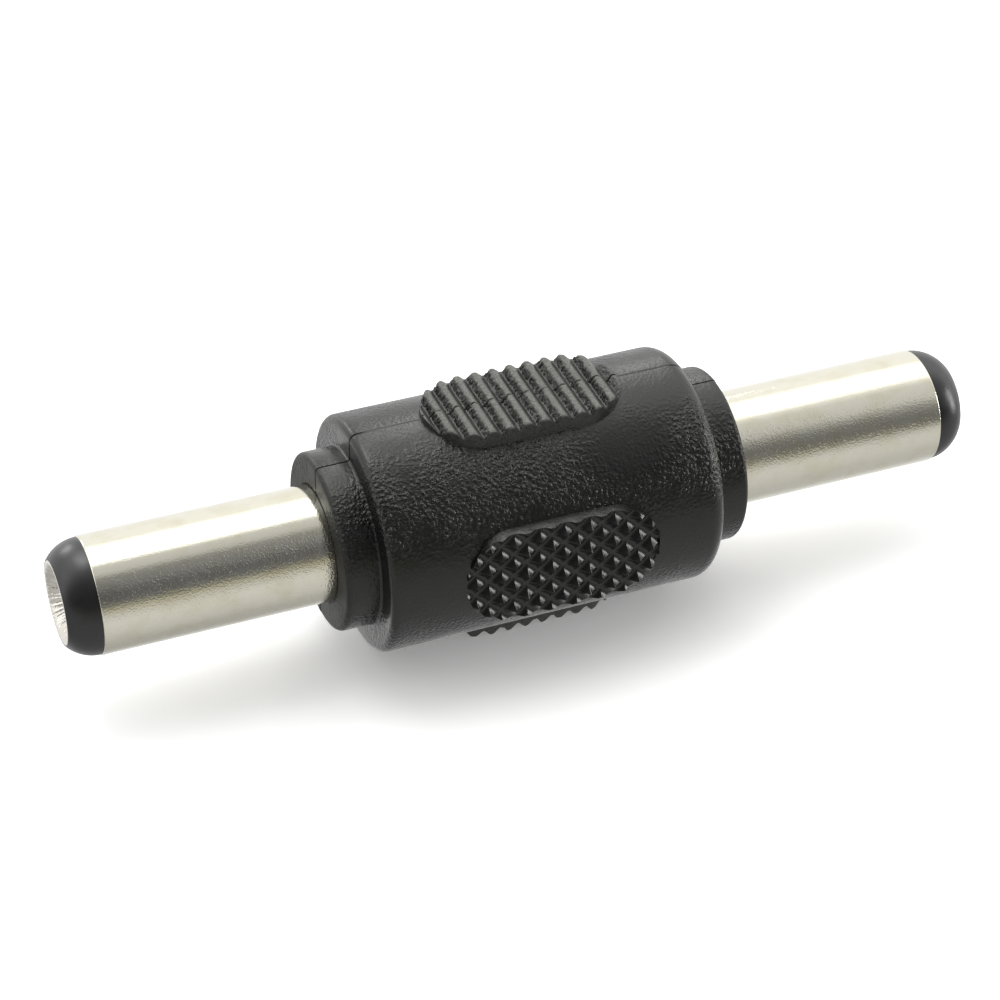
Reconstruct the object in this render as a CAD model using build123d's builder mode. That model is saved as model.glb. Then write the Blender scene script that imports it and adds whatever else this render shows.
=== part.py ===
from build123d import *

import math
import os

os.makedirs("parts", exist_ok=True)

# DC barrel adapter, plug to plug, in millimetres
# X runs along both plugs, Z points up through the ribbed grip, the pyramid grip faces -Y
# The origin is the middle of the adapter on its axis

# The moulded body and its collars
body_radius = 5.6
body_half_length = 8.25
collar_radius = 4.2
collar_end = 9.9
left_rim_bevel = 0.35
right_rim_round = 0.9
collar_rim_bevel = 0.25

# The four raised grips
grip_length = 9.5
grip_width = 4.7
grip_height = 5.9
grip_root = 5.0
ridge_count = 11
ridge_pitch = 0.86
ridge_groove_width = 0.44
ridge_groove_depth = 0.36
point_pitch = 0.86
point_land = 0.05
point_groove_depth = 0.42

# The outer contact, a drawn sleeve with a wider rear that the body holds
sleeve_radius = 2.75
sleeve_wall = 0.3
sleeve_end = 20.7
sleeve_rear = 5.2
sleeve_shoulder_radius = 3.0
sleeve_shoulder_depth = 0.1

# The insulator with its rounded nose
nose_radius = 2.7
nose_end = 22.15
nose_face_radius = 2.0

# The centre contact, a tube with a funnel mouth and a square riveted tail
bore_radius = 1.05
bore_bottom = 11.6
contact_radius = 1.45
mouth_radius = 1.95
mouth_rim = 0.13
mouth_depth = 0.8
tail_width = 1.5
tail_head_width = 2.2
tail_head_thickness = 0.3

# The washer, the two lugs, the joints and the two links inside the body
washer_radius = 2.45
washer_thickness = 0.4
lug_thickness = 0.3
lug_width = 1.6
centre_lug_reach = 1.9
centre_lug_end = 2.6
sleeve_lug_top = 2.6
sleeve_lug_reach = 3.5
sleeve_lug_end = 2.4
link_width = 1.1
link_thickness = 0.3
link_lap = 1.4
solder_margin = 0.2
solder_inset = 0.15
solder_thickness = 0.15
solder_bevel = 0.09

# Values that follow from the ones above
sleeve_bore_radius = sleeve_radius - sleeve_wall
sleeve_shoulder_end = collar_end - sleeve_shoulder_depth
washer_rear = sleeve_rear - washer_thickness
centre_lug_rear = washer_rear - lug_thickness
tail_rear = centre_lug_rear - tail_head_thickness
sleeve_lug_rear = sleeve_rear - lug_thickness
centre_tongue_level = centre_lug_reach - lug_thickness
sleeve_tongue_level = lug_thickness - sleeve_lug_reach
ridge_groove_count = ridge_count + 1
point_groove_reach = math.ceil((grip_length + grip_width) / 2 / (point_pitch * math.sqrt(2)))


def side_name(side):
    """Gives the name of the end at -X or +X."""
    return "left" if side < 0 else "right"


def tube(outer, inner, start, end, side):
    """Makes a plain ring on the axis between two stations of one end."""
    with BuildPart() as ring:
        with BuildSketch(Plane.YZ.offset(min(side * start, side * end))):
            Circle(outer)
            if inner > 0:
                Circle(inner, mode=Mode.SUBTRACT)
        extrude(amount=end - start)
    return ring.part


def block(start, end, width, low, high, side):
    """Makes a straight bar along the axis between two stations of one end."""
    with BuildPart() as bar:
        with BuildSketch(Plane.YZ.offset(min(side * start, side * end))):
            with Locations((0, (low + high) / 2)):
                Rectangle(width, high - low)
        extrude(amount=end - start)
    return bar.part


def square_bar(start, end, width, side):
    """Makes a bar of square section on the axis."""
    return block(start, end, width, -width / 2, width / 2, side)


def make_sleeve(side):
    """Makes the outer contact of one plug."""
    with BuildPart() as sleeve:
        add(tube(sleeve_radius, sleeve_bore_radius, sleeve_rear, sleeve_end, side))
        add(tube(sleeve_shoulder_radius, sleeve_radius, sleeve_rear, sleeve_shoulder_end, side))
    return sleeve.part


def make_tip_insulator(side):
    """Makes the liner of one plug and its rounded nose."""
    with BuildPart() as insulator:
        with BuildSketch(Plane.XZ):
            with BuildLine():
                Polyline(
                    (side * sleeve_rear, contact_radius),
                    (side * sleeve_rear, sleeve_bore_radius),
                    (side * sleeve_end, sleeve_bore_radius),
                    (side * sleeve_end, nose_radius),
                )
                nose = TangentArc(
                    (side * sleeve_end, nose_radius),
                    (side * nose_end, nose_face_radius),
                    tangent=(side, 0),
                )
                Polyline(
                    nose @ 1,
                    (side * nose_end, mouth_radius),
                    (side * (nose_end - mouth_depth), contact_radius),
                    (side * sleeve_rear, contact_radius),
                )
            make_face()
        revolve(axis=Axis.X)
    return insulator.part


def make_centre_contact(side):
    """Makes the funnel-mouthed inner contact with its square riveted tail."""
    with BuildPart() as contact:
        with BuildSketch(Plane.XZ):
            with BuildLine():
                Polyline(
                    (side * sleeve_rear, 0),
                    (side * sleeve_rear, contact_radius),
                    (side * (nose_end - mouth_depth), contact_radius),
                    (side * nose_end, mouth_radius),
                    (side * nose_end, mouth_radius - mouth_rim),
                    (side * (nose_end - mouth_depth), bore_radius),
                    (side * bore_bottom, bore_radius),
                    (side * bore_bottom, 0),
                    close=True,
                )
            make_face()
        revolve(axis=Axis.X)
        add(square_bar(centre_lug_rear, sleeve_rear, tail_width, side))
        add(square_bar(tail_rear, centre_lug_rear, tail_head_width, side))
    return contact.part


def make_washer(side):
    """Makes the insulating washer behind the liner."""
    with BuildPart() as washer:
        add(tube(washer_radius, 0, washer_rear, sleeve_rear, side))
        add(square_bar(washer_rear, sleeve_rear, tail_width, side), mode=Mode.SUBTRACT)
    return washer.part


def make_centre_lug(side):
    """Makes the bent strip that the centre contact is riveted to."""
    with BuildPart() as lug:
        tail_head_low = -tail_head_width / 2
        add(block(centre_lug_rear, washer_rear, tail_head_width, tail_head_low, centre_lug_reach, side))
        add(square_bar(centre_lug_rear, washer_rear, tail_width, side), mode=Mode.SUBTRACT)
        add(block(centre_lug_end, centre_lug_rear, lug_width, centre_tongue_level, centre_lug_reach, side))
    return lug.part


def make_sleeve_lug(side):
    """Makes the bent strip that is welded to the sleeve's rear edge."""
    with BuildPart() as lug:
        add(block(sleeve_lug_rear, sleeve_rear, lug_width, -sleeve_lug_reach, -sleeve_lug_top, side))
        add(block(sleeve_lug_end, sleeve_lug_rear, lug_width, -sleeve_lug_reach, sleeve_tongue_level, side))
    return lug.part


def make_solder(side, tongue_end, tongue_level, inward):
    """Makes the joint that wraps the end of a link on its tongue."""
    start = tongue_end + solder_inset
    end = tongue_end + link_lap + solder_margin
    outer_level = tongue_level + (link_thickness + solder_thickness) * inward
    link_level = tongue_level + link_thickness * inward
    with BuildPart() as joint:
        add(
            block(
                start,
                end,
                lug_width,
                min(tongue_level, outer_level),
                max(tongue_level, outer_level),
                side,
            )
        )
        add(
            block(
                start,
                tongue_end + link_lap,
                link_width,
                min(tongue_level, link_level),
                max(tongue_level, link_level),
                side,
            ),
            mode=Mode.SUBTRACT,
        )
        outer_face = joint.faces().filter_by(Axis.Z).sort_by(Axis.Z)[-1 if inward > 0 else 0]
        chamfer(outer_face.edges(), solder_bevel)
    return joint.part


def make_link(tongue_end, tongue_level, inward):
    """Makes one flat strip that joins the same contact of both plugs."""
    half_length = tongue_end + link_lap
    far_level = tongue_level + link_thickness * inward
    return block(
        -half_length,
        half_length,
        link_width,
        min(tongue_level, far_level),
        max(tongue_level, far_level),
        1,
    )


def grip_plane(turn):
    """Gives the plane through the axis whose normal points out through a grip."""
    return Plane(origin=(0, 0, 0), x_dir=(1, 0, 0), z_dir=(0, -math.sin(turn), math.cos(turn)))


def grip_blank(turn):
    """Makes the plain raised pad, turned about the axis."""
    with BuildPart() as blank:
        with BuildSketch(grip_plane(turn).offset(grip_root)):
            SlotOverall(grip_length, grip_width)
        extrude(amount=grip_height - grip_root)
    return blank.part


def ridged_grip(turn):
    """Makes a pad crossed by ridges with flat crests."""
    up = grip_plane(turn)
    across = Plane(origin=(0, 0, 0), x_dir=(1, 0, 0), z_dir=-up.y_dir)
    first_groove = -(ridge_groove_count - 1) / 2 * ridge_pitch
    half_top = ridge_groove_width / 2
    floor = grip_height - ridge_groove_depth
    with BuildPart() as grip:
        add(grip_blank(turn))
        with BuildSketch(across.offset(-grip_width)):
            for number in range(ridge_groove_count):
                middle = first_groove + number * ridge_pitch
                with BuildLine():
                    Polyline(
                        (middle - half_top, grip_height),
                        (middle, floor),
                        (middle + half_top, grip_height),
                        close=True,
                    )
                make_face()
        extrude(amount=2 * grip_width, mode=Mode.SUBTRACT)
    return grip.part


def pointed_grip(turn):
    """Makes a pad cut into pyramids by two crossing sets of grooves."""
    up = grip_plane(turn)
    half_top = (point_pitch - point_land) / 2
    floor = grip_height - point_groove_depth
    groove_length = grip_length + grip_width
    with BuildPart() as grip:
        add(grip_blank(turn))
        for slant in (-1, 1):
            run = (up.x_dir + up.y_dir * slant).normalized()
            section = Plane(origin=(0, 0, 0), x_dir=up.z_dir.cross(run), z_dir=run)
            with BuildSketch(section.offset(-groove_length / 2)):
                for number in range(-point_groove_reach, point_groove_reach + 1):
                    middle = number * point_pitch
                    with BuildLine():
                        Polyline(
                            (middle - half_top, grip_height + point_land),
                            (middle - half_top, grip_height),
                            (middle, floor),
                            (middle + half_top, grip_height),
                            (middle + half_top, grip_height + point_land),
                            close=True,
                        )
                    make_face()
            extrude(amount=groove_length, mode=Mode.SUBTRACT)
    return grip.part


def keep(part, name):
    """Labels one finished piece and writes it."""
    part.label = name
    export_step(part, f"parts/{name}.step")


inserts = []

for side in (-1, 1):
    end = side_name(side)

    sleeve = make_sleeve(side)
    keep(sleeve, f"{end}_sleeve")
    inserts.append(sleeve)

    tip_insulator = make_tip_insulator(side)
    keep(tip_insulator, f"{end}_tip_insulator")

    centre_contact = make_centre_contact(side)
    keep(centre_contact, f"{end}_centre_contact")
    inserts.append(centre_contact)

    insulating_washer = make_washer(side)
    keep(insulating_washer, f"{end}_insulating_washer")
    inserts.append(insulating_washer)

    centre_lug = make_centre_lug(side)
    keep(centre_lug, f"{end}_centre_lug")
    inserts.append(centre_lug)

    sleeve_lug = make_sleeve_lug(side)
    keep(sleeve_lug, f"{end}_sleeve_lug")
    inserts.append(sleeve_lug)

    centre_solder = make_solder(side, centre_lug_end, centre_tongue_level, -1)
    keep(centre_solder, f"{end}_centre_solder")
    inserts.append(centre_solder)

    sleeve_solder = make_solder(side, sleeve_lug_end, sleeve_tongue_level, 1)
    keep(sleeve_solder, f"{end}_sleeve_solder")
    inserts.append(sleeve_solder)

centre_link = make_link(centre_lug_end, centre_tongue_level, -1)
keep(centre_link, "centre_link")
inserts.append(centre_link)

sleeve_link = make_link(sleeve_lug_end, sleeve_tongue_level, 1)
keep(sleeve_link, "sleeve_link")
inserts.append(sleeve_link)

# The body is moulded round the finished inserts, so its cavity follows them
with BuildPart() as body:
    with BuildSketch(Plane.XZ):
        with BuildLine():
            Polyline(
                (-collar_end, 0),
                (-collar_end, collar_radius - collar_rim_bevel),
                (-collar_end + collar_rim_bevel, collar_radius),
                (-body_half_length, collar_radius),
                (-body_half_length, body_radius - left_rim_bevel),
                (-body_half_length + left_rim_bevel, body_radius),
                (body_half_length - right_rim_round, body_radius),
            )
            RadiusArc(
                (body_half_length - right_rim_round, body_radius),
                (body_half_length, body_radius - right_rim_round),
                right_rim_round,
            )
            Polyline(
                (body_half_length, body_radius - right_rim_round),
                (body_half_length, collar_radius),
                (collar_end - collar_rim_bevel, collar_radius),
                (collar_end, collar_radius - collar_rim_bevel),
                (collar_end, 0),
                (-collar_end, 0),
            )
        make_face()
    revolve(axis=Axis.X)
    for quarter in range(4):
        turn = quarter * math.pi / 2
        add(grip_blank(turn), mode=Mode.SUBTRACT)
        add(ridged_grip(turn) if quarter % 2 == 0 else pointed_grip(turn))
    for side in (-1, 1):
        add(tube(sleeve_bore_radius, 0, sleeve_rear, collar_end, side), mode=Mode.SUBTRACT)
    for insert in inserts:
        add(insert, mode=Mode.SUBTRACT)

keep(body.part, "body")
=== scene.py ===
import logging
import math
from collections.abc import Callable
from dataclasses import dataclass
from enum import Enum
from functools import partial
from typing import Any

import bmesh
import bpy
import numpy as np
from mathutils import Matrix, Vector

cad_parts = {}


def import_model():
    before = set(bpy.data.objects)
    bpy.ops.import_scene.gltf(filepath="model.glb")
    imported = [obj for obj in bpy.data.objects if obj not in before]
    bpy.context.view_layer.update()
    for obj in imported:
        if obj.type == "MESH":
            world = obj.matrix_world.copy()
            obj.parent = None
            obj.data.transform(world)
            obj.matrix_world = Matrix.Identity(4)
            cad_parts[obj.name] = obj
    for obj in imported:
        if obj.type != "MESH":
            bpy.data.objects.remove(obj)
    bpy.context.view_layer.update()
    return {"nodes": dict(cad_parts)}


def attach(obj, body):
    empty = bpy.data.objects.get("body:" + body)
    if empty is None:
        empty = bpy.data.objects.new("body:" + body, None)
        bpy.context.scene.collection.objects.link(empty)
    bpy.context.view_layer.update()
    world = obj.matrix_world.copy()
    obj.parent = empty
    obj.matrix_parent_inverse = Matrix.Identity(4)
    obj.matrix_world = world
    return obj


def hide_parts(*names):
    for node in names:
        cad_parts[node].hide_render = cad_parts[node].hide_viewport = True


# Dresses the plug-to-plug barrel adapter: one moulded body with four grips, two plated plugs, and the parts inside
# Sizes in the classes are in millimetres, meshes and lights are in metres, and X runs along both plugs

MM = 0.001
log = logging.getLogger("adapter")

Adder = Callable[..., bpy.types.Node]
Line = list[tuple[float, float]]
Span = tuple[float, float]
Place = tuple[float, float, float]

# The kinds of node that come up most, some with their settings
Kind = tuple[str, dict[str, str]]
MATH = "ShaderNodeMath"
PLUS: Kind = (MATH, {"operation": "ADD"})
MINUS: Kind = (MATH, {"operation": "SUBTRACT"})
TIMES: Kind = (MATH, {"operation": "MULTIPLY"})
TIMES_PLUS: Kind = (MATH, {"operation": "MULTIPLY_ADD"})
UNSIGNED: Kind = (MATH, {"operation": "ABSOLUTE"})
RANGE = "ShaderNodeMapRange"
SMOOTH_RANGE: Kind = (RANGE, {"interpolation_type": "SMOOTHSTEP"})
MIX: Kind = ("ShaderNodeMix", {"data_type": "RGBA"})
NOISE = "ShaderNodeTexNoise"
CELLS = "ShaderNodeTexVoronoi"
BUMP = "ShaderNodeBump"
AXES = "ShaderNodeSeparateXYZ"
SPOT = "ShaderNodeCombineXYZ"

# Points nearer than the first are one point, and faces thinner than the second are dropped
SAME_POINT = 0.0004
SLIVER = 0.0002

# Nearly all of a noise's values lie in this span
NOISE_SPAN: Span = (0.3, 0.7)


def metres(*sizes: float) -> list[float]:
    """Turns millimetres to metres."""
    return [size * MM for size in sizes]


def linear(code: str) -> tuple[float, float, float, float]:
    """Turns an sRGB hex colour to linear light.

    Args:
        code: Six hex digits, with or without a leading hash.

    Returns:
        Linear red, green, blue and an alpha of one.
    """
    digits = code.lstrip("#")
    parts = [int(digits[i : i + 2], 16) / 255 for i in (0, 2, 4)]
    light = [p / 12.92 if p <= 0.04045 else ((p + 0.055) / 1.055) ** 2.4 for p in parts]
    return (light[0], light[1], light[2], 1.0)


def add_node(tree: bpy.types.NodeTree, kind: str | Kind, *values: Any, **settings: Any) -> bpy.types.Node:
    """Adds a node with its settings and links.

    Args:
        tree: The material, world or geometry tree that gets the node.
        kind: The node's type, alone or with its usual settings.
        *values: Its inputs in order. A dict gives them by name or number, and a node stands for its first output.
            A range's are its value, from low, from high, to low and to high.
        **settings: The node's own properties.

    Returns:
        The new node.
    """
    word, usual = kind if isinstance(kind, tuple) else (kind, {})
    made = tree.nodes.new(word)
    for name, setting in (usual | settings).items():
        setattr(made, name, setting)
    given: dict[Any, Any] = {}
    for number, value in enumerate(values):
        given.update(value if isinstance(value, dict) else {number: value})
    for key, value in given.items():
        if isinstance(value, bpy.types.Node):
            value = value.outputs[0]
        if isinstance(value, bpy.types.NodeSocket):
            tree.links.new(value, made.inputs[key])
        else:
            made.inputs[key].default_value = value
    return made


def new_material(name: str) -> tuple[bpy.types.Material, Adder, bpy.types.NodeSocket]:
    """Makes an empty material.

    Args:
        name: The real material's name.

    Returns:
        The material, what adds a node to it, and the place on the object in metres.
    """
    material = bpy.data.materials.new(name)
    material.use_nodes = True
    material.node_tree.nodes.clear()
    add = partial(add_node, material.node_tree)
    return material, add, add("ShaderNodeTexCoord").outputs["Object"]


def close_material(material: bpy.types.Material, look: dict[str, Any]) -> bpy.types.Material:
    """Gives a material its shader and its output.

    Args:
        material: The material with its patterns.
        look: The shader's inputs by name.

    Returns:
        The same material.
    """
    shader = add_node(material.node_tree, "ShaderNodeBsdfPrincipled", look)
    add_node(material.node_tree, "ShaderNodeOutputMaterial", shader)
    return material


@dataclass(frozen=True)
class MouldedPvc:
    """Soft PVC, injection moulded in a spark-eroded cavity: a black that sparkles where its grain meets the light."""

    name: str = "soft_pvc_spark_grain"
    tone: str = "#0F0F10"
    # The second tone, on raised crests, is partly wear and partly a painted highlight
    worn_and_lit_tone: str = "#161717"
    sheen: str = "#FAFBF4"
    ior: float = 1.47
    grain: float = 0.17
    grain_depth: float = 0.047
    grain_radius: float = 0.85
    grain_base: float = 0.55
    uneven: Span = (0.3, 0.68)
    least_bump: float = 0.1
    least_grain: float = 0.14
    drift: float = 2.6
    drift_share: float = 1.4
    grain_fade: Span = (1.15, 1.65)
    handled_spot: Place = (3.9, -3.2, 4.6)
    handled_fade: Span = (0.8, 3.3)
    handled_grain: float = 0.2
    wrinkle: float = 0.5
    wrinkle_depth: float = 0.011
    patch: float = 2.2
    roughness: Span = (0.24, 0.34)
    end_faces: Span = (9.6, 9.85)
    end_dullness: float = 0.28
    worn_and_lit_crests: Span = (5.73, 5.86)
    patchy_wear: float = 0.4

    def make(self) -> bpy.types.Material:
        """Builds the material. The spark grain is drawn at 0.17 mm, coarser than real, so that it shows.

        Returns:
            The material.
        """
        material, add, place = new_material(self.name)
        x, y, z = add(AXES, place).outputs

        # The grain is full halfway between the grips, and worn off at the parting line and in front
        turn = add(MATH, y, z, operation="ARCTAN2")
        doubled = add(TIMES, turn, 2.0)
        swing = add(MATH, doubled, operation="SINE")
        between = add(UNSIGNED, swing)
        drift = add(NOISE, {"Vector": place, "Scale": 1 / (self.drift * MM)})
        patchy = add(TIMES_PLUS, drift, self.drift_share, between)
        full = add(SMOOTH_RANGE, patchy, *self.grain_fade, self.least_grain)

        # Handling has worn it off in one patch below the right of the upper grip
        away = add("ShaderNodeVectorMath", place, metres(*self.handled_spot), operation="DISTANCE").outputs["Value"]
        unworn = add(SMOOTH_RANGE, away, *metres(*self.handled_fade), self.handled_grain)
        amount = add(TIMES, full, unworn)

        # Each grain is a small round bump, and no two are the same height
        size = 1 / (self.grain * MM)
        grain = add(NOISE, {"Vector": place, "Scale": size})
        cells = add(CELLS, {"Vector": place, "Scale": size})
        round_top = add(SMOOTH_RANGE, cells, 0.0, self.grain_radius, 1.0, 0.0)
        uneven = add(RANGE, grain, *self.uneven, self.least_bump)
        lumps = add(PLUS, round_top, self.grain_base)
        bumps = add(TIMES, lumps, uneven)
        height = add(TIMES, bumps, amount)
        wrinkles = add(NOISE, {"Vector": place, "Scale": 1 / (self.wrinkle * MM), "Detail": 3.0, "Distortion": 0.6})
        folds = add(BUMP, {"Height": wrinkles, "Distance": self.wrinkle_depth * MM})
        bump = add(BUMP, {"Height": height, "Distance": self.grain_depth * MM, "Normal": folds})

        # The end faces, which closed on the sleeves, are duller
        patches = add(NOISE, {"Vector": place, "Scale": 1 / (self.patch * MM)})
        sheen = add(RANGE, patches, *NOISE_SPAN, *self.roughness)
        station = add(UNSIGNED, x)
        dull = add(RANGE, station, *metres(*self.end_faces), 0.0, self.end_dullness)
        rough = add(PLUS, sheen, dull)

        # Raised crests are lighter in tone: partly wear, partly a painted highlight where the light catches them
        sideways = add(UNSIGNED, y)
        upright = add(UNSIGNED, z)
        tallest = add(MATH, sideways, upright, operation="MAXIMUM")
        crest_wear_and_light = add(RANGE, tallest, *metres(*self.worn_and_lit_crests))
        worn_and_lit = add(TIMES_PLUS, patches, self.patchy_wear, crest_wear_and_light)
        tone = add(MIX, {0: worn_and_lit, 6: linear(self.tone), 7: linear(self.worn_and_lit_tone)})
        look = {"Base Color": tone.outputs[2], "Roughness": rough, "IOR": self.ior, "Normal": bump}
        return close_material(material, look | {"Specular Tint": linear(self.sheen)})


@dataclass(frozen=True)
class TurnedNylon:
    """Black nylon with a satin skin: smooth and deep, with one soft highlight along the rounded nose."""

    name: str = "black_nylon_satin"
    tone: str = "#151516"
    ior: float = 1.53
    haze: float = 0.5
    haze_depth: float = 0.004
    roughness: Span = (0.28, 0.38)

    def make(self) -> bpy.types.Material:
        """Builds the material, with a faint haze in its roughness.

        Returns:
            The material.
        """
        material, add, place = new_material(self.name)
        haze = add(NOISE, {"Vector": place, "Scale": 1 / (self.haze * MM), "Detail": 3.0})
        rough = add(RANGE, haze, *NOISE_SPAN, *self.roughness)
        bump = add(BUMP, {"Height": haze, "Distance": self.haze_depth * MM})
        look = {"Base Color": linear(self.tone), "Roughness": rough, "IOR": self.ior, "Normal": bump}
        return close_material(material, look)


@dataclass(frozen=True)
class SatinNickel:
    """Nickel plate on drawn brass: a warm grey mirror, blurred a little, with fine pits and faint draw marks."""

    name: str = "nickel_plate_satin"
    tone: str = "#DAD7C8"
    stain: str = "#CFC9B2"
    stain_size: float = 1.3
    stain_span: Span = (0.45, 0.75)
    most_stain: float = 0.7
    roughness: Span = (0.11, 0.05)
    pit: float = 0.115
    pit_depth: float = 0.0092
    pit_radius: float = 0.5
    pit_span: Span = (0.4, 0.62)
    mottle: float = 1.5
    pit_fade: Span = (1.5, 2.3)
    faint_pits: float = 0.25
    ripple: float = 1.6
    ripple_depth: float = 0.003
    ripple_stretch: float = 0.25

    def make(self) -> bpy.types.Material:
        """Builds the material. The pits are drawn at 0.115 mm, coarser than real, so that they show.

        Returns:
            The material.
        """
        material, add, place = new_material(self.name)
        drawn = add("ShaderNodeMapping", {"Vector": place, "Scale": (self.ripple_stretch, 1.0, 1.0)})
        ripples = add(NOISE, {"Vector": drawn, "Scale": 1 / (self.ripple * MM)})

        # Round pits of uneven depth lie in a finer mottle, and both fade towards the top
        size = 1 / (self.pit * MM)
        pits = add(NOISE, {"Vector": place, "Scale": size, "Detail": 3.0, "Roughness": 0.6})
        cells = add(CELLS, {"Vector": place, "Scale": size})
        single = add(SMOOTH_RANGE, cells, 0.0, self.pit_radius, -1.0, 0.0)
        chosen = add(RANGE, pits, *self.pit_span)
        dents = add(TIMES, single, chosen)
        height = add(TIMES_PLUS, pits, self.mottle, dents)
        level = add(AXES, place).outputs["Z"]
        shown = add(RANGE, level, *metres(*self.pit_fade), 1.0, self.faint_pits)
        wave = add(BUMP, {"Height": ripples, "Distance": self.ripple_depth * MM})
        bump = add(BUMP, {"Height": height, "Distance": self.pit_depth * MM, "Strength": shown, "Normal": wave})

        cloud = add(NOISE, {"Vector": place, "Scale": 1 / (self.stain_size * MM), "Detail": 3.0})
        amount = add(RANGE, cloud, *self.stain_span, 0.0, self.most_stain)
        tone = add(MIX, {0: amount, 6: linear(self.tone), 7: linear(self.stain)})
        rough = add(RANGE, pits, *NOISE_SPAN, *self.roughness)
        look = {"Base Color": tone.outputs[2], "Metallic": 1.0, "Roughness": rough, "Normal": bump}
        return close_material(material, look)


@dataclass(frozen=True)
class PlainSheet:
    """A plain stock material for a part inside the body, with its own grain and tone."""

    name: str
    tone: str
    second_tone: str
    grain: float
    rough: float
    metallic: float = 0.0
    rough_spread: float = 0.1
    grain_depth: float = 0.01

    def make(self) -> bpy.types.Material:
        """Builds the material: two tones in a grain of the given size, and a light bump.

        Returns:
            The material.
        """
        material, add, place = new_material(self.name)
        grain = add(NOISE, {"Vector": place, "Scale": 1 / (self.grain * MM), "Detail": 4.0})
        tone = add(MIX, {0: grain, 6: linear(self.tone), 7: linear(self.second_tone)})
        bump = add(BUMP, {"Height": grain, "Distance": self.grain_depth * MM})
        rough = add(RANGE, grain, 0.0, 1.0, self.rough - self.rough_spread, self.rough + self.rough_spread)
        look = {"Base Color": tone.outputs[2], "Metallic": self.metallic, "Roughness": rough, "Normal": bump}
        return close_material(material, look)


@dataclass(frozen=True)
class WhitePaper:
    """Matt white paper on a light table, which softens what shadow there is."""

    name: str = "white_paper_matt"
    tone: str = "#F4F4F3"
    fibre_tone: str = "#FBFBFA"
    fibre: float = 1.5
    rough: float = 0.9
    glow: float = 0.25

    def make(self) -> bpy.types.Material:
        """Builds the material, with a fibre too fine to see.

        Returns:
            The material.
        """
        material, add, place = new_material(self.name)
        fibre = add(NOISE, {"Vector": place, "Scale": 1 / (self.fibre * MM), "Detail": 3.0})
        tone = add(MIX, {0: fibre, 6: linear(self.tone), 7: linear(self.fibre_tone)})
        look = {"Base Color": tone.outputs[2], "Roughness": self.rough}
        light = {"Emission Color": linear(self.tone), "Emission Strength": self.glow}
        return close_material(material, look | light)


class Finish(Enum):
    """The finishes of the adapter."""

    BODY = MouldedPvc()
    RIDGES = MouldedPvc(
        "soft_pvc_torn_from_mould",
        "#0F100F",
        # The much lighter second tone on the crests is partly wear and partly a painted highlight
        "#50514C",
        grain=0.14,
        grain_depth=0.022,
        least_grain=0.8,
        roughness=(0.3, 0.42),
    )
    POINTS = MouldedPvc(
        "soft_pvc_crisp", "#0D0D0E", "#141515", grain_depth=0.006, wrinkle_depth=0.003, roughness=(0.23, 0.3)
    )
    NOSE = TurnedNylon()
    SLEEVE = SatinNickel()
    CONTACT = SatinNickel("nickel_plate_bright", "#D6D2CA", "#C9C2AE", roughness=(0.22, 0.12), ripple=0.5)
    WASHER = PlainSheet("phenolic_paper", "#6E3E1E", "#8A5530", 0.3, 0.55)
    LUG = PlainSheet("tinned_brass", "#CFCBC2", "#BDB59F", 0.5, 0.30, 1.0)
    SOLDER = PlainSheet("tin_solder", "#B9BBBD", "#9C9EA1", 0.25, 0.42, 1.0)
    LINK = PlainSheet("bare_copper", "#D08A5E", "#B8683F", 0.8, 0.34, 1.0)


class Palette:
    """Keeps one material for each finish."""

    def __init__(self) -> None:
        """Builds every material once."""
        self.made: dict[Finish, bpy.types.Material] = {finish: finish.value.make() for finish in Finish}

    def dress(self, piece: bpy.types.Object, finish: Finish) -> None:
        """Gives a piece a finish in place of what it had.

        Args:
            piece: The mesh object.
            finish: Its finish.
        """
        piece.data.materials.clear()
        piece.data.materials.append(self.made[finish])

    def dress_node(self, nodes: dict[str, bpy.types.Object], name: str, finish: Finish) -> None:
        """Dresses a node that keeps its own mesh, and reports it.

        Args:
            nodes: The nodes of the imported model.
            name: The node's name.
            finish: Its finish.
        """
        self.dress(nodes[name], finish)
        log.info("%s: kept, %s", name, finish.name.lower())


def mesh_object(name: str, points: np.ndarray, faces: list[tuple[int, ...]]) -> bpy.types.Object:
    """Makes an object from points in millimetres.

    Args:
        name: The piece's name.
        points: One row of x, y, z for each point.
        faces: The points of each face.

    Returns:
        The object, at the origin, with its place in its mesh.
    """
    mesh = bpy.data.meshes.new(name)
    mesh.from_pydata((points * MM).tolist(), [], faces)
    piece = bpy.data.objects.new(name, mesh)
    bpy.context.scene.collection.objects.link(piece)
    return piece


def baked_mesh(piece: bpy.types.Object) -> bpy.types.Mesh:
    """Gives a plain mesh of what a piece's modifiers make."""
    evaluated = piece.evaluated_get(bpy.context.evaluated_depsgraph_get())
    return bpy.data.meshes.new_from_object(evaluated)


def tidy_mesh(piece: bpy.types.Object, sharp_angle: float = 35.0) -> bpy.types.Object:
    """Merges doubles, turns faces outwards and shades them smooth with crisp edges.

    Args:
        piece: The mesh object, a closed shape.
        sharp_angle: Edges that bend by more degrees stay sharp.

    Returns:
        The same object.
    """
    work = bmesh.new()
    work.from_mesh(piece.data)
    bmesh.ops.remove_doubles(work, verts=work.verts, dist=SAME_POINT * MM)
    bmesh.ops.dissolve_degenerate(work, edges=work.edges, dist=SLIVER * MM)
    bmesh.ops.recalc_face_normals(work, faces=work.faces)
    work.to_mesh(piece.data)
    work.free()
    piece.data.shade_smooth()
    piece.data.set_sharp_from_angle(angle=math.radians(sharp_angle))
    return piece


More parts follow.
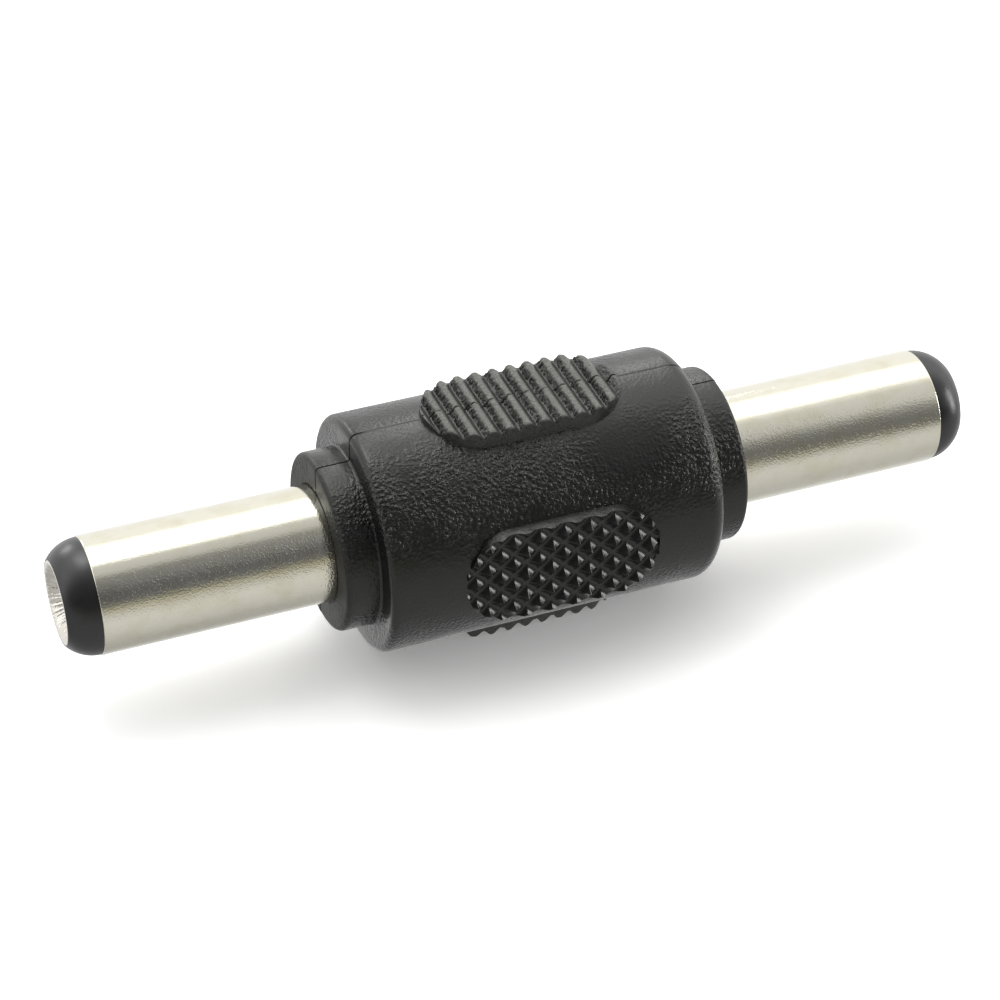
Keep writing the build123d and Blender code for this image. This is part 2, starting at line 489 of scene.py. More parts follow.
def rounded_profile(corners: list[Place], steps: int = 8) -> Line:
    """Rounds the corners of an open line.

    Args:
        corners: Each corner's station on the axis, its radius from the axis, and how far it is rounded.
        steps: Steps in each rounding.

    Returns:
        The points of the rounded line, as station and radius.
    """
    line: Line = []
    for number, (x, r, rounding) in enumerate(corners):
        here = np.array((x, r))
        if rounding <= 0 or number in (0, len(corners) - 1):
            line.append((x, r))
            continue
        before = np.array(corners[number - 1][:2]) - here
        after = np.array(corners[number + 1][:2]) - here
        before = before / np.linalg.norm(before)
        after = after / np.linalg.norm(after)
        half = math.acos(max(-1.0, min(1.0, float(before @ after)))) / 2
        reach = rounding / math.tan(half)
        centre = here + (before + after) / np.linalg.norm(before + after) * rounding / math.sin(half)
        start, stop = here + before * reach - centre, here + after * reach - centre
        turn = math.atan2(start[0] * stop[1] - start[1] * stop[0], float(start @ stop))
        for step in range(steps + 1):
            c, s = math.cos(turn * step / steps), math.sin(turn * step / steps)
            line.append((centre[0] + c * start[0] - s * start[1], centre[1] + s * start[0] + c * start[1]))
    return line


def divided(line: Line, longest: float) -> Line:
    """Adds points to a line's long runs.

    Args:
        line: Points as station and radius.
        longest: The longest run that may stay.

    Returns:
        The line with no run longer than that.
    """
    full = [line[0]]
    for (x, r), (end_x, end_r) in zip(line, line[1:]):
        count = max(1, math.ceil(math.dist((x, r), (end_x, end_r)) / longest))
        full += [(x + (end_x - x) * k / count, r + (end_r - r) * k / count) for k in range(1, count + 1)]
    return full


def turned_piece(name: str, line: Line, closed: bool, angles: np.ndarray) -> bpy.types.Object:
    """Turns a line about the X axis.

    Args:
        name: The piece's name.
        line: Points as station and radius. An open line starts and ends on the axis.
        closed: Whether its last point joins its first.
        angles: The angles of the columns, measured from +Z towards -Y.

    Returns:
        The turned object.
    """
    stations, radii = np.array(line).T[:, :, None]
    count, columns = len(line), len(angles)
    points = np.zeros((count, columns, 3))
    points[:, :, 0] = stations
    points[:, :, 1] = -radii * np.sin(angles)
    points[:, :, 2] = radii * np.cos(angles)
    faces = []
    for row in range(count if closed else count - 1):
        here, following = row * columns, (row + 1) % count * columns
        for column in range(columns):
            beside = (column + 1) % columns
            faces.append((here + column, here + beside, following + beside, following + column))
    return mesh_object(name, points.reshape(-1, 3), faces)


def even_angles(columns: int) -> np.ndarray:
    """Gives evenly spaced angles round the axis."""
    return np.arange(columns) * 2 * math.pi / columns


def finish_piece(piece: bpy.types.Object, palette: Palette, finish: Finish, slot: str, *nodes: str) -> None:
    """Dresses a new piece, hides the nodes that it stands for and reports it.

    Args:
        piece: The finished mesh object.
        palette: The materials.
        finish: The piece's finish.
        slot: A material slot's name, not used.
        *nodes: The nodes that it stands for.
    """
    palette.dress(piece, finish)
    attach(piece, "root")
    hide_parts(*nodes)
    log.info("%s: %d faces, %s", piece.name, len(piece.data.polygons), finish.name.lower())


@dataclass(frozen=True)
class Cut:
    """What is special to one way of cutting a grip's face. The edge adds its fall to the cut, or only its excess."""

    word: str
    finish: Finish
    depth: float
    edge_drop: float
    edge_width: float
    edge_meets: str


@dataclass(frozen=True)
class Face:
    """A grip's face while its rule is built: what adds a node, the rule's inputs and the place on the pad."""

    add: Adder
    given: bpy.types.NodeOutputs
    along: bpy.types.Node
    across: bpy.types.Node
    half_pitch: bpy.types.Node


class GripPattern(Enum):
    """How a grip's face is cut."""

    RIDGED = Cut("ribbed", Finish.RIDGES, 0.33, 0.04, 0.08, "ADD")
    POINTED = Cut("pyramid", Finish.POINTS, 0.44, 0.24, 0.24, "MAXIMUM")


@dataclass
class Grip:
    """One raised grip: a pad with round ends, ridged or cut into pyramids, and walls that go down into the body."""

    name: str
    pattern: GripPattern
    quarter: int
    seed: float
    length: float = 9.5
    width: float = 4.7
    height: float = 5.9
    root: float = 4.6
    wall_flare: float = 0.03
    pitch: float = 0.86
    roughness: float = 0.012
    bump_scale: float = 5.0
    ridge_reach: float = 1.2
    ridge_shift: float = 0.33
    end_step: Span = (4.16, 4.26)
    end_step_depth: float = 0.12
    plain_end: Span = (3.95, 4.1)
    plain_end_tear: float = 0.3
    split_half_width: float = 0.045
    split_depth: float = 0.12
    split_crests: Span = (-0.2, -0.1)
    wander: float = 0.14
    wander_scale: float = 1.3
    wander_span: Span = (0.25, 0.75)
    torn_crests: Span = (-0.13, -0.03)
    crest_tear: float = 0.3
    torn_flanks: Span = (0.1, 0.2)
    smooth_valleys: Span = (0.33, 0.4)
    tear_scale: float = 6.5
    tear_span: Span = (0.38, 0.62)
    tear_depth: float = 0.11
    point_land: float = 0.02
    point_hollow: float = 1.75
    long_steps: int = 381
    cross_steps: int = 151
    top_share: float = 0.84
    merge: float = 0.0005
    sharp_angle: float = 50.0

    def sizes(self) -> dict[str, float]:
        """Gives the named inputs of the grip's rule and their values.

        Returns:
            Each input's value by its name.
        """
        cut = self.pattern.value
        return {
            "Length": self.length,
            "Width": self.width,
            "Height": self.height,
            "Root": self.root,
            "Pitch": self.pitch,
            "Depth": cut.depth,
            "Edge Drop": cut.edge_drop,
            "Edge Width": cut.edge_width,
            "Roughness": self.roughness,
            "Seed": self.seed,
        }

    def tree(self, material: bpy.types.Material) -> tuple[bpy.types.NodeTree, dict[str, str]]:
        """Builds the rule of the grip's face and walls.

        Args:
            material: The grip's material.

        Returns:
            The node tree, and the identifier of each named input.
        """
        cut = self.pattern.value
        tree = bpy.data.node_groups.new(f"{cut.word}_grip_rule", "GeometryNodeTree")
        names: dict[str, str] = {}
        for label in self.sizes():
            socket = tree.interface.new_socket(name=label, in_out="INPUT", socket_type="NodeSocketFloat")
            names[label] = socket.identifier
        tree.interface.new_socket(name="Geometry", in_out="OUTPUT", socket_type="NodeSocketGeometry")
        add = partial(add_node, tree)
        given = add("NodeGroupInput").outputs

        # The grid's two directions: along the pad, and across it with the outer part kept for the wall
        counts = {"Vertices X": self.long_steps, "Vertices Y": self.cross_steps}
        grid = add("GeometryNodeMeshGrid", {"Size X": 2.0, "Size Y": 2.0} | counts)
        lengthwise, crosswise, _ = add(AXES, add("GeometryNodeInputPosition")).outputs
        turned = add(TIMES, lengthwise, math.pi / 2)
        sine = add(MATH, turned, operation="SINE")
        half_length = add(TIMES, given["Length"], 0.5)
        half_width = add(TIMES, given["Width"], 0.5)
        along = add(TIMES, sine, half_length)

        # The half width at each station, which closes in round each end
        straight = add(MINUS, half_length, half_width)
        station = add(UNSIGNED, along)
        beyond = add(MINUS, station, straight)
        past = add(MATH, beyond, 0.0, operation="MAXIMUM")
        past_square = add(TIMES, past, past)
        width_square = add(TIMES, half_width, half_width)
        left_over = add(MINUS, width_square, past_square)
        kept = add(MATH, left_over, 0.0, operation="MAXIMUM")
        reach = add(MATH, kept, operation="SQRT")
        cross = add(UNSIGNED, crosswise)
        which = add(MATH, crosswise, operation="SIGN")
        share = add(RANGE, cross, 0.0, self.top_share)
        down = add(RANGE, cross, self.top_share, 1.0)
        offset = add(TIMES, share, reach)
        across = add(TIMES, offset, which)

        # Small unevenness of the moulding, the same on every run
        spot = add(SPOT, along, across, given["Seed"])
        uneven = add(NOISE, {"Vector": spot, "Scale": self.bump_scale})
        centred = add(MINUS, uneven, 0.5)
        relief = add(TIMES, centred, given["Roughness"])

        # The edge falls away a little before the wall, where it takes the points' tops off
        half_pitch = add(TIMES, given["Pitch"], 0.5)
        face = Face(add, given, along, across, half_pitch)
        depth = self.ridge_cut(face) if self.pattern is GripPattern.RIDGED else self.point_cut(face)
        both = add(TIMES_PLUS, offset, offset, past_square)
        distance = add(MATH, both, operation="SQRT")
        rim = add(MINUS, half_width, distance)
        fall = add(RANGE, rim, 0.0, given["Edge Width"], given["Edge Drop"], 0.0)
        deepest = add(MATH, depth, fall, operation=cut.edge_meets)
        lowered = add(MINUS, given["Height"], deepest)
        rough_top = add(PLUS, lowered, relief)
        capped = add(MATH, rough_top, given["Height"], operation="MINIMUM")

        # The wall goes down to the root and leans out a little
        high = add(RANGE, down, 0.0, 1.0, capped, given["Root"])
        flare = add(TIMES, reach, down)
        slope = add(TIMES, flare, self.wall_flare)
        outward = add(TIMES_PLUS, slope, which, across)
        place = add(SPOT, along, outward, high)
        moved = add("GeometryNodeSetPosition", {"Geometry": grid, "Position": place})
        merged = add("GeometryNodeMergeByDistance", {"Geometry": moved, "Distance": self.merge})
        scaled = add("GeometryNodeTransform", {"Geometry": merged, "Scale": (MM, MM, MM)})
        plain = add("GeometryNodeRealizeInstances", {"Geometry": scaled})
        dressed = add("GeometryNodeSetMaterial", {"Geometry": plain, "Material": material})
        add("NodeGroupOutput", dressed)
        return tree, names

    def ridge_cut(self, face: Face) -> bpy.types.Node:
        """Gives the depth of the grooves between ridges.

        Args:
            face: The place on the pad.

        Returns:
            The node that gives the depth below the pad's top.
        """
        add, along, half_pitch = face.add, face.along, face.half_pitch
        shifted = add(MINUS, along, self.ridge_shift)
        away = add(MATH, shifted, half_pitch, operation="PINGPONG")
        full_fall = add(TIMES, half_pitch, self.ridge_reach)
        bowed = add(SMOOTH_RANGE, away, 0.0, full_fall)
        groove = add(TIMES, bowed, face.given["Depth"])

        # The end ridge on the right is lower and plain
        end_step = add(RANGE, along, *self.end_step, 0.0, self.end_step_depth)
        plain_end = add(RANGE, along, *self.plain_end, 1.0, self.plain_end_tear)

        # Where a point lies on its own ridge, from the crest at zero to the valley on its left
        low_pitch = add(TIMES, half_pitch, -1.0)
        signed = add(TIMES, shifted, -1.0)
        lean = add(MATH, signed, half_pitch, low_pitch, operation="WRAP")

        # A fine split where the mould halves met crosses every ridge, not quite straight
        wander_spot = add(SPOT, {"X": along, "Z": face.given["Seed"]})
        wander = add(NOISE, {"Vector": wander_spot, "Scale": self.wander_scale})
        drift = add(RANGE, wander, *self.wander_span, -self.wander, self.wander)
        line = add(MINUS, face.across, drift)
        near = add(UNSIGNED, line)
        crack = add(RANGE, near, 0.0, self.split_half_width, self.split_depth, 0.0)
        on_crest = add(RANGE, lean, *self.split_crests)
        split = add(TIMES, crack, on_crest)

        # The crest and the left flank of each ridge came out of the mould torn and rough, the right flank smooth
        crest = add(SMOOTH_RANGE, lean, *self.torn_crests, 0.0, self.crest_tear)
        flank = add(SMOOTH_RANGE, lean, *self.torn_flanks)
        valley = add(SMOOTH_RANGE, lean, *self.smooth_valleys, 1.0, 0.0)
        raised = add(PLUS, crest, flank)
        torn_part = add(TIMES, raised, valley)
        where = add(TIMES, torn_part, plain_end)
        torn_spot = add(SPOT, along, face.across, face.given["Seed"])
        torn = add(NOISE, {"Vector": torn_spot, "Scale": self.tear_scale, "Detail": 3.0, "Roughness": 0.65})
        torn_depth = add(RANGE, torn, *self.tear_span, 0.0, self.tear_depth)
        tear = add(TIMES, torn_depth, where)

        steps = add(PLUS, end_step, split)
        marks = add(PLUS, steps, tear)
        return add(PLUS, groove, marks)

    def point_cut(self, face: Face) -> bpy.types.Node:
        """Gives the depth of the two crossing sets of grooves that leave pyramids.

        Args:
            face: The place on the pad.

        Returns:
            The node that gives the depth below the pad's top.
        """
        add, along, half_pitch = face.add, face.along, face.half_pitch
        rise = add(MINUS, half_pitch, self.point_land / 2)
        families = []
        for diagonal in (PLUS, MINUS):
            slanted = add(diagonal, along, face.across)
            scaled = add(TIMES, slanted, math.sqrt(0.5))
            families.append(add(MATH, scaled, half_pitch, operation="PINGPONG"))
        nearest = add(MATH, *families, operation="MINIMUM")

        # The grooves are hollow: flat along their floors and steep just under each point
        fall = add(RANGE, nearest, 0.0, rise)
        steep = add(MATH, fall, self.point_hollow, operation="POWER")
        sunk = add(MINUS, 1.0, steep)
        return add(TIMES, sunk, face.given["Depth"])

    def build(self, palette: Palette) -> bpy.types.Object:
        """Builds the grip, closes its underside and turns it to its quarter.

        Args:
            palette: The materials.

        Returns:
            The finished piece.
        """
        tree, names = self.tree(palette.made[self.pattern.value.finish])
        carrier = mesh_object(f"{self.name}_carrier", np.zeros((1, 3)), [])
        rule = carrier.modifiers.new("grip_rule", "NODES")
        rule.node_group = tree
        for label, value in self.sizes().items():
            rule[names[label]] = value
        mesh = baked_mesh(carrier)
        carrier.modifiers.remove(rule)
        bpy.data.objects.remove(carrier)
        mesh.name = self.name
        piece = bpy.data.objects.new(self.name, mesh)
        bpy.context.scene.collection.objects.link(piece)
        work = bmesh.new()
        work.from_mesh(mesh)
        open_edges = [edge for edge in work.edges if edge.is_boundary]
        bmesh.ops.holes_fill(work, edges=open_edges, sides=0)
        work.to_mesh(mesh)
        work.free()
        mesh.transform(Matrix.Rotation(self.quarter * math.pi / 2, 4, "X"))
        return tidy_mesh(piece, self.sharp_angle)


@dataclass
class MouldedBody:
    """The one-piece moulding: a round body with a collar at each end, the seam of its mould, and four grips."""

    radius: float = 5.6
    half_length: float = 8.25
    collar_radius: float = 4.2
    collar_end: float = 9.9
    left_rim: float = 0.4
    right_rim: float = 0.9
    collar_rim: float = 0.28
    inner_corner: float = 0.12
    mouth_gap: float = 0.1
    mouth_rim: float = 0.04
    rim_steps: int = 10
    sleeve_radius: float = 2.75
    shoulder_radius: float = 3.0
    shoulder_end: float = 9.75
    sleeve_rear: float = 5.2
    washer_radius: float = 2.45
    washer_rear: float = 4.8
    longest_run: float = 0.5
    seam_width: float = 0.042
    seam_room: float = 2.5
    seam_depth: float = 0.05
    faint_seam: float = 0.42
    clear_seam: float = 0.8
    half_mismatch: float = 0.018
    columns: int = 320
    pocket_inset: float = 0.04
    pocket_floor: float = 5.2
    pocket_overshoot: float = 1.0
    pocket_steps: int = 65

    def outline(self) -> Line:
        """Gives the outer line from the left sleeve's mouth to the right one's, with every edge rounded.

        Returns:
            Points as station and radius.
        """
        mouth, lip = self.sleeve_radius, self.sleeve_radius + self.mouth_gap
        left, right = -self.collar_end, self.collar_end
        corners = [
            (left + self.mouth_gap, mouth, 0.0),
            (left, lip, self.mouth_rim),
            (left, self.collar_radius, self.collar_rim),
            (-self.half_length, self.collar_radius, self.inner_corner),
            (-self.half_length, self.radius, self.left_rim),
            (self.half_length, self.radius, self.right_rim),
            (self.half_length, self.collar_radius, self.inner_corner),
            (right, self.collar_radius, self.collar_rim),
            (right, lip, self.mouth_rim),
            (right - self.mouth_gap, mouth, 0.0),
        ]
        return rounded_profile(corners, self.rim_steps)

    def cavity(self, side: int) -> Line:
        """Gives the inner line of one end, from the axis out to the sleeve's mouth.

        Args:
            side: -1 for the left end, 1 for the right.

        Returns:
            Points as station and radius.
        """
        return [
            (side * self.washer_rear, 0.0),
            (side * self.washer_rear, self.washer_radius),
            (side * self.sleeve_rear, self.washer_radius),
            (side * self.sleeve_rear, self.shoulder_radius),
            (side * self.shoulder_end, self.shoulder_radius),
        ]

    def shell(self) -> bpy.types.Object:
        """Turns the closed moulding, with the seam's columns set close together at top and bottom.

        Returns:
            The moulding with its seam, without pockets.
        """
        outer = divided(self.outline(), self.longest_run)
        line = self.cavity(-1) + outer + self.cavity(1)[::-1]
        half_seam = self.seam_width / self.radius
        plain = [a for a in even_angles(self.columns) if abs(math.sin(a)) > self.seam_room * half_seam]
        seams = [centre + k * half_seam for centre in (0.0, math.pi) for k in (-1, 0, 1)]
        angles = np.array(sorted(a % (2 * math.pi) for a in plain + seams))
        piece = turned_piece("moulded_body", line, False, angles)

        # The seam is a fine groove, and the front half of the mould sits a little lower than the back half
        points = np.array([v.co for v in piece.data.vertices]).reshape(len(line), len(angles), 3)
        slopes = np.gradient(np.array(outer), axis=0)
        slopes /= np.linalg.norm(slopes, axis=1)[:, None]
        sines, cosines = np.sin(angles), np.cos(angles)
        on_seam = np.abs(sines) < half_seam / 2
        lower_half = np.where(sines > 0, self.half_mismatch, 0.0)
        first = len(self.cavity(-1))
        for number in range(1, len(outer) - 1):
            run, rise = slopes[number]
            clear = abs(outer[number][0]) > self.half_length - self.clear_seam
            groove = self.seam_depth * (1.0 if clear else self.faint_seam)
            inward = np.where(on_seam, groove, lower_half)[:, None] * MM
            outward = np.column_stack((np.full(len(angles), -rise), -sines * run, cosines * run))
            points[first + number] -= outward * inward
        piece.data.vertices.foreach_set("co", points.reshape(-1))
        return tidy_mesh(piece)

    def cut_pockets(self, body: bpy.types.Object, grip: Grip) -> None:
        """Cuts the four pockets that the grips stand in.

        Args:
            body: The turned moulding.
            grip: A grip, for its length and width.
        """
        half_width = grip.width / 2 - self.pocket_inset
        half_straight = (grip.length - grip.width) / 2
        bends = np.linspace(-math.pi / 2, math.pi / 2, self.pocket_steps)
        right = np.column_stack((half_straight + half_width * np.cos(bends), half_width * np.sin(bends)))
        ring = np.vstack((right, -right))
        count = len(ring)
        levels = (self.pocket_floor, self.radius + self.pocket_overshoot)
        points = np.vstack([np.column_stack((ring, np.full(count, level))) for level in levels])
        faces = [tuple(range(count))[::-1], tuple(range(count, 2 * count))]
        faces += [(k, (k + 1) % count, count + (k + 1) % count, count + k) for k in range(count)]
        for quarter in range(4):
            cutter = mesh_object("pocket_cutter", points, faces)
            cutter.data.transform(Matrix.Rotation(quarter * math.pi / 2, 4, "X"))
            cut = body.modifiers.new("pocket", "BOOLEAN")
            cut.operation = "DIFFERENCE"
            cut.solver = "EXACT"
            cut.object = tidy_mesh(cutter)
            mesh = baked_mesh(body)
            body.modifiers.remove(cut)
            bpy.data.objects.remove(cutter)
            body.data = mesh
        body.data.name = body.name
        tidy_mesh(body)

    def build(self, palette: Palette) -> None:
        """Builds the moulding and its grips.

        Args:
            palette: The materials.
        """
        grips = [
            Grip("ribbed_grip_top", GripPattern.RIDGED, 0, 1.7),
            Grip("pyramid_grip_front", GripPattern.POINTED, 1, 4.1),
            Grip("ribbed_grip_bottom", GripPattern.RIDGED, 2, 6.3),
            Grip("pyramid_grip_back", GripPattern.POINTED, 3, 9.2),
        ]
        body = self.shell()
        self.cut_pockets(body, grips[0])
        finish_piece(body, palette, Finish.BODY, "body", "body")
        for grip in grips:
            finish_piece(grip.build(palette), palette, grip.pattern.value.finish, "body", "body")


@dataclass
class Plug:
    """One plug: the plated sleeve, the liner with its round nose, the funnel-mouthed contact, and what is behind."""

    side: int
    sleeve_radius: float = 2.75
    bore_radius: float = 2.45
    sleeve_end: float = 20.7
    sleeve_rear: float = 5.2
    shoulder_radius: float = 3.0
    shoulder_end: float = 9.74
    shoulder_rim: float = 0.05
    lip: float = 0.08
    longest_run: float = 1.0
    nose_radius: float = 2.7
    nose_end: float = 22.15
    nose_face_radius: float = 2.0
    nose_rim: float = 0.05
    nose_steps: int = 24
    liner_bore: float = 1.45
    mouth_radius: float = 1.95
    mouth_rim: float = 0.13
    mouth_edge: Span = (0.02, 0.03)
    mouth_depth: float = 0.8
    funnel_steps: int = 12
    funnel_flare: float = 0.85
    contact_bore: float = 1.05
    bore_bottom: float = 11.6
    tail_rear: float = 4.2
    lug_rear: float = 4.5
    tail_width: float = 1.5
    tail_head_width: float = 2.2
    columns: int = 256
    contact_columns: int = 384
    scratches: int = 71
    scratch_waves: int = 6
    scratch_depth: float = 0.052
    scratched: Span = (0.02, 1.02)
    scratch_seed: int = 11

    @property
    def end(self) -> str:
        """The name of this end."""
        return "left" if self.side < 0 else "right"

    def turned(self, word: str, line: Line, closed: bool, columns: int) -> bpy.types.Object:
        """Turns a line at this plug's end of the axis.

        Args:
            word: What the piece is called after its end's name.
            line: Points as station and radius, as for the right end.
            closed: Whether the line's last point joins its first.
            columns: Steps round the axis.

        Returns:
            The turned object.
        """
        placed = [(self.side * x, r) for x, r in line]
        return turned_piece(f"{self.end}_plug_{word}", placed, closed, even_angles(columns))

    def sleeve(self) -> bpy.types.Object:
        """Turns the outer contact, with its front edge rounded over.

        Returns:
            The sleeve.
        """
        corners = [
            (self.sleeve_rear, self.bore_radius, 0.0),
            (self.sleeve_rear, self.shoulder_radius, self.shoulder_rim),
            (self.shoulder_end, self.shoulder_radius, self.shoulder_rim),
            (self.shoulder_end, self.sleeve_radius, 0.0),
            (self.sleeve_end, self.sleeve_radius, self.lip),
            (self.sleeve_end, self.bore_radius, 0.0),
        ]
        line = divided(rounded_profile(corners), self.longest_run)
        return tidy_mesh(self.turned("sleeve", line, True, self.columns))

    def liner(self) -> bpy.types.Object:
        """Turns the liner, whose nose curves in from the sleeve's edge to the funnel.

        Returns:
            The liner.
        """
        drop = self.nose_radius - self.nose_face_radius
        run = self.nose_end - self.sleeve_end
        bend = (run * run + drop * drop) / (2 * drop)
        sweep = math.asin(run / bend)
        turns = [sweep * k / self.nose_steps for k in range(self.nose_steps + 1)]
        nose = [(self.sleeve_end + bend * math.sin(t), self.nose_radius - bend * (1 - math.cos(t))) for t in turns]
        corners = [(*nose[-4], 0.0), (*nose[-1], self.nose_rim), (self.nose_end, self.mouth_radius, 0.0)]
        line = [
            (self.sleeve_rear, self.liner_bore),
            (self.sleeve_rear, self.bore_radius),
            (self.sleeve_end, self.bore_radius),
            *nose[:-4],
            *rounded_profile(corners),
            (self.nose_end - self.mouth_depth, self.liner_bore),
        ]
        return tidy_mesh(self.turned("nose", line, True, self.columns))

    def contact(self) -> bpy.types.Object:
        """Turns the inner contact, scratches its funnel along its slope, and adds its square tail.

        Returns:
            The contact.
        """
        lip_radius = self.mouth_radius - self.mouth_rim
        shares = [k / self.funnel_steps for k in range(self.funnel_steps + 1)]
        narrowing = self.contact_bore - lip_radius
        funnel = [
            (self.nose_end - self.mouth_depth * s, lip_radius + narrowing * s**self.funnel_flare) for s in shares
        ]
        back, inward = self.mouth_edge
        line = [
            (self.sleeve_rear, 0.0),
            (self.sleeve_rear, self.liner_bore),
            (self.nose_end - self.mouth_depth, self.liner_bore),
            (self.nose_end - back, self.mouth_radius),
            (self.nose_end, self.mouth_radius - inward),
            *funnel,
            (self.bore_bottom, self.contact_bore),
            (self.bore_bottom, 0.0),
        ]
        piece = self.turned("contact", line, False, self.contact_columns)
        chance = np.random.default_rng(self.scratch_seed + self.side)
        phases = chance.uniform(0, 2 * math.pi, self.scratch_waves)
        turns = chance.integers(self.scratches // 3, self.scratches, self.scratch_waves)
        shallow, deep = self.scratched
        for vertex in piece.data.vertices:
            x, y, z = (c / MM for c in vertex.co)
            depth = (self.nose_end - abs(x)) / self.mouth_depth
            if shallow < depth < deep and math.hypot(y, z) < lip_radius + 0.001:
                angle = math.atan2(y, z)
                wave = sum(math.sin(t * angle + p) for t, p in zip(turns, phases)) / self.scratch_waves
                share = math.sin(min(1.0, depth) * math.pi) ** 0.5
                vertex.co.x += self.side * wave * self.scratch_depth * share * MM
        work = bmesh.new()
        work.from_mesh(piece.data)
        tail = (self.lug_rear, self.sleeve_rear, self.tail_width)
        head = (self.tail_rear, self.lug_rear, self.tail_head_width)
        for start, stop, width in (tail, head):
            size = Matrix.Diagonal((*metres(stop - start, width, width), 1.0))
            middle = Matrix.Translation((self.side * (start + stop) / 2 * MM, 0.0, 0.0))
            bmesh.ops.create_cube(work, size=1.0, matrix=middle @ size)
        work.to_mesh(piece.data)
        work.free()
        return tidy_mesh(piece)

    def build(self, palette: Palette, nodes: dict[str, bpy.types.Object]) -> None:
        """Builds the seen parts of the plug and dresses the ones inside.

        Args:
            palette: The materials.
            nodes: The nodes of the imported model.
        """
        finish_piece(self.sleeve(), palette, Finish.SLEEVE, "plated_sleeve", f"{self.end}_sleeve")
        finish_piece(self.liner(), palette, Finish.NOSE, "nose_insulator", f"{self.end}_tip_insulator")
        finish_piece(self.contact(), palette, Finish.CONTACT, "plated_contact", f"{self.end}_centre_contact")
        inside = {
            "insulating_washer": Finish.WASHER,
            "centre_lug": Finish.LUG,
            "sleeve_lug": Finish.LUG,
            "centre_solder": Finish.SOLDER,
            "sleeve_solder": Finish.SOLDER,
        }
        for name, finish in inside.items():
            palette.dress_node(nodes, f"{self.end}_{name}", finish)


@dataclass
class Links:
    """The two strips inside the body that join the plugs."""

    names: tuple[str, str] = ("centre_link", "sleeve_link")

    def build(self, palette: Palette, nodes: dict[str, bpy.types.Object]) -> None:
        """Dresses both strips.

        Args:
            palette: The materials.
            nodes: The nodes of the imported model.
        """
        for name in self.names:
            palette.dress_node(nodes, name, Finish.LINK)


@dataclass(frozen=True)
class Lamp:
    """A rectangular light that faces the adapter: its place, its level and upright sides, and its power in watts."""

    name: str
    place: Place
    width: float
    length: float
    power: float

    def build(self) -> None:
        """Hangs the light."""
        data = bpy.data.lights.new(self.name, "AREA")
        data.shape = "RECTANGLE"
        data.size, data.size_y = metres(self.width, self.length)
        data.energy = self.power
        lamp = bpy.data.objects.new(self.name, data)
        lamp.location = Vector(self.place) * MM
        lamp.rotation_euler = (-lamp.location).to_track_quat("-Z", "Y").to_euler()
        bpy.context.scene.collection.objects.link(lamp)


# The light tent's brightness by degrees in the plane across the plugs: 0 is the front, 90 is up, 180 is the back
# A third number is how much warmer than white the light is there, or cooler where it is negative
Stops = tuple[tuple[float, ...], ...]
LEFT_TENT: Stops = (
    (-180, 1.2), (-130, 1.0), (-106, 0.52), (-82, 0.52), (-58, 0.7), (-24, 0.86), (-8, 0.7), (-1, 0.6, 0.6),
    (3, 0.48, 1.0), (8, 0.27), (12, 0.18, -0.3), (28, 0.12, -0.3), (42, 0.21, -0.3), (62, 0.32), (72, 0.68),
    (88, 0.8), (94, 2.0), (132, 2.0), (140, 1.3), (180, 1.2),
)
RIGHT_TENT: Stops = (
    (-180, 1.2), (-130, 1.1), (-96, 0.64), (-70, 0.65), (-44, 0.76), (-24, 0.79), (-12, 0.6), (-8, 0.42, 0.8),
    (-4, 0.22), (10, 0.19), (28, 0.27), (38, 0.44), (50, 0.74), (78, 0.84), (88, 1.1), (96, 2.0), (128, 2.0),
    (138, 1.3), (180, 1.2),
)


